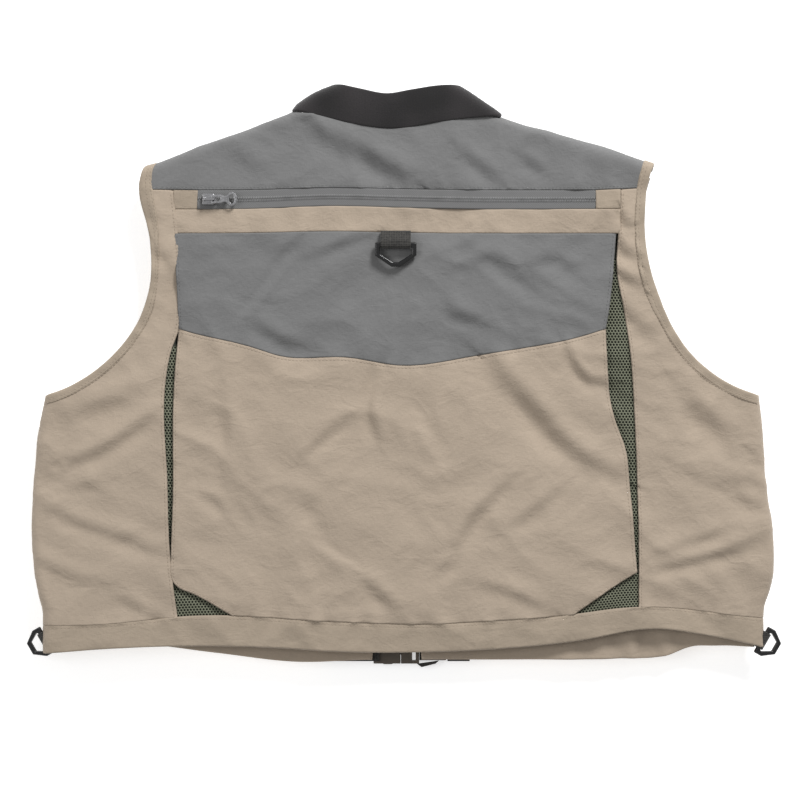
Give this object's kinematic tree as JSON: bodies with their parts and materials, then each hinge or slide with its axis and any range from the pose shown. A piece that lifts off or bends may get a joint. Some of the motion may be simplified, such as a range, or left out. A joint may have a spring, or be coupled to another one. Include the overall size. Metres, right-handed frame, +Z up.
{
  "type": "fishing vest",
  "caption": "Sleeveless fishing vest lying on its front, with a zipped rear pocket over a mesh back, a padded collar and webbing rings for tackle.",
  "frame": {"origin": "middle of the base of the vest's box, on the surface that it lies on", "axes": "+Z up out of the back of the vest, +Y towards the collar, +X towards the wearer's right"},
  "size_m": [0.6424, 0.496, 0.0371],
  "materials": {
    "tan_cloth": "matt woven nylon",
    "grey_cloth": "matt woven nylon",
    "binding": "matt woven binding",
    "collar_knit": "brushed knit over padding",
    "mesh": "open knitted mesh",
    "zip_tape": "ribbed woven tape",
    "zip_coil": "moulded nylon coil",
    "zip_metal": "plated die casting",
    "webbing": "woven webbing",
    "black_plastic": "smooth moulded",
    "olive_plastic": "moulded acetal",
    "hook_loop": "hook and loop tape"
  },
  "bodies": {
    "vest": {"collar": "collar_knit", "yoke_back": "grey_cloth", "back_mesh": "mesh", "rear_zip_tape": "zip_tape", "rear_zip_tab_left": "tan_cloth", "rear_zip_tab_right": "tan_cloth", "rear_zip_coil": "zip_coil", "rear_pocket_strip": "tan_cloth", "rear_pocket_upper": "grey_cloth", "rear_pocket_lower": "tan_cloth", "hem_band_back": "tan_cloth", "front_zip_tape": "zip_tape", "front_zip_coil": "zip_coil", "buckle_socket": "olive_plastic", "waist_strap_left": "webbing", "waist_strap_right": "webbing", "side_panel_left": "tan_cloth", "armhole_binding_back_left": "binding", "front_panel_left": "tan_cloth", "front_yoke_left": "grey_cloth", "armhole_binding_front_left": "binding", "hem_band_front_left": "tan_cloth", "lower_pocket_left": "tan_cloth", "chest_pocket_left": "tan_cloth", "chest_zip_tape_left": "zip_tape", "chest_zip_coil_left": "zip_coil", "loop_patch_left": "hook_loop", "side_ring_loop_left": "webbing", "side_panel_right": "tan_cloth", "armhole_binding_back_right": "binding", "front_panel_right": "tan_cloth", "front_yoke_right": "grey_cloth", "armhole_binding_front_right": "binding", "hem_band_front_right": "tan_cloth", "lower_pocket_right": "tan_cloth", "chest_pocket_right": "tan_cloth", "chest_zip_tape_right": "zip_tape", "chest_zip_coil_right": "zip_coil", "loop_patch_right": "hook_loop", "side_ring_loop_right": "webbing", "rear_ring_loop": "webbing"},
    "rear_slider": {"rear_zip_slider": "zip_metal"},
    "rear_pull": {"rear_zip_pull": "zip_metal"},
    "front_slider": {"front_zip_slider": "zip_metal"},
    "front_pull": {"front_zip_pull": "zip_metal"},
    "chest_slider_left": {"chest_zip_left_slider": "zip_metal"},
    "chest_pull_left": {"chest_zip_left_pull": "zip_metal"},
    "chest_slider_right": {"chest_zip_right_slider": "zip_metal"},
    "chest_pull_right": {"chest_zip_right_pull": "zip_metal"},
    "rear_ring_body": {"rear_ring": "black_plastic"},
    "side_ring_body_left": {"side_ring_left": "black_plastic"},
    "side_ring_body_right": {"side_ring_right": "black_plastic"},
    "flap_left": {"pocket_flap_left": "tan_cloth", "hook_patch_left": "hook_loop"},
    "flap_right": {"pocket_flap_right": "tan_cloth", "hook_patch_right": "hook_loop"},
    "buckle_plug_body": {"buckle_plug": "olive_plastic", "buckle_strap": "webbing"},
    "prong_lower": {"buckle_prong_lower": "olive_plastic"},
    "prong_upper": {"buckle_prong_upper": "olive_plastic"}
  },
  "joints": [
    {"name": "rear_zip_slide", "type": "slide", "parent": "vest", "child": "rear_slider", "axis": [1, 0, 0], "range_m": [0, 0.316]},
    {"name": "rear_pull_tilt", "type": "hinge", "parent": "rear_slider", "child": "rear_pull", "pos_m": [-0.162, 0.1483, 0.034], "axis": [0, -1, 0], "range_deg": [0, 150]},
    {"name": "front_zip_slide", "type": "slide", "parent": "vest", "child": "front_slider", "axis": [0, -1, 0], "range_m": [0, 0.279]},
    {"name": "front_pull_tilt", "type": "hinge", "parent": "front_slider", "child": "front_pull", "pos_m": [-0.006, 0.123, 0.0095], "axis": [1, 0, 0], "range_deg": [0, 150]},
    {"name": "chest_left_zip_slide", "type": "slide", "parent": "vest", "child": "chest_slider_left", "axis": [1, 0, 0], "range_m": [0, 0.09]},
    {"name": "chest_left_pull_tilt", "type": "hinge", "parent": "chest_slider_left", "child": "chest_pull_left", "pos_m": [-0.149, 0.089, 0.0034], "axis": [0, 1, 0], "range_deg": [0, 150]},
    {"name": "chest_right_zip_slide", "type": "slide", "parent": "vest", "child": "chest_slider_right", "axis": [-1, 0, 0], "range_m": [0, 0.09]},
    {"name": "chest_right_pull_tilt", "type": "hinge", "parent": "chest_slider_right", "child": "chest_pull_right", "pos_m": [0.137, 0.089, 0.0034], "axis": [0, -1, 0], "range_deg": [0, 150]},
    {"name": "rear_ring_swing", "type": "hinge", "parent": "vest", "child": "rear_ring_body", "pos_m": [-0.007, 0.1098, 0.0333], "axis": [-1, 0, 0], "range_deg": [0, 150]},
    {"name": "side_ring_left_swing", "type": "hinge", "parent": "vest", "child": "side_ring_body_left", "pos_m": [-0.3045, -0.225, 0.0212], "axis": [-0.5, 0.866, 0], "range_deg": [-30, 85]},
    {"name": "side_ring_right_swing", "type": "hinge", "parent": "vest", "child": "side_ring_body_right", "pos_m": [0.3045, -0.225, 0.0212], "axis": [-0.5, -0.866, 0], "range_deg": [-30, 85]},
    {"name": "pocket_flap_left_lift", "type": "hinge", "parent": "vest", "child": "flap_left", "pos_m": [0, -0.026, 0.0136], "axis": [1, 0, 0], "range_deg": [0, 80]},
    {"name": "pocket_flap_right_lift", "type": "hinge", "parent": "vest", "child": "flap_right", "pos_m": [0, -0.026, 0.0136], "axis": [1, 0, 0], "range_deg": [0, 80]},
    {"name": "buckle_release", "type": "slide", "parent": "vest", "child": "buckle_plug_body", "axis": [1, 0, 0], "range_m": [0, 0.022]},
    {"name": "buckle_prong_lower_press", "type": "hinge", "parent": "buckle_plug_body", "child": "prong_lower", "pos_m": [-0.0029, -0.2445, 0.007], "axis": [0, 0, -1], "range_deg": [0, 6], "stiffness_Nm_per_rad": 0.02},
    {"name": "buckle_prong_upper_press", "type": "hinge", "parent": "buckle_plug_body", "child": "prong_upper", "pos_m": [-0.0029, -0.2255, 0.007], "axis": [0, 0, 1], "range_deg": [0, 6], "stiffness_Nm_per_rad": 0.02}
  ]
}
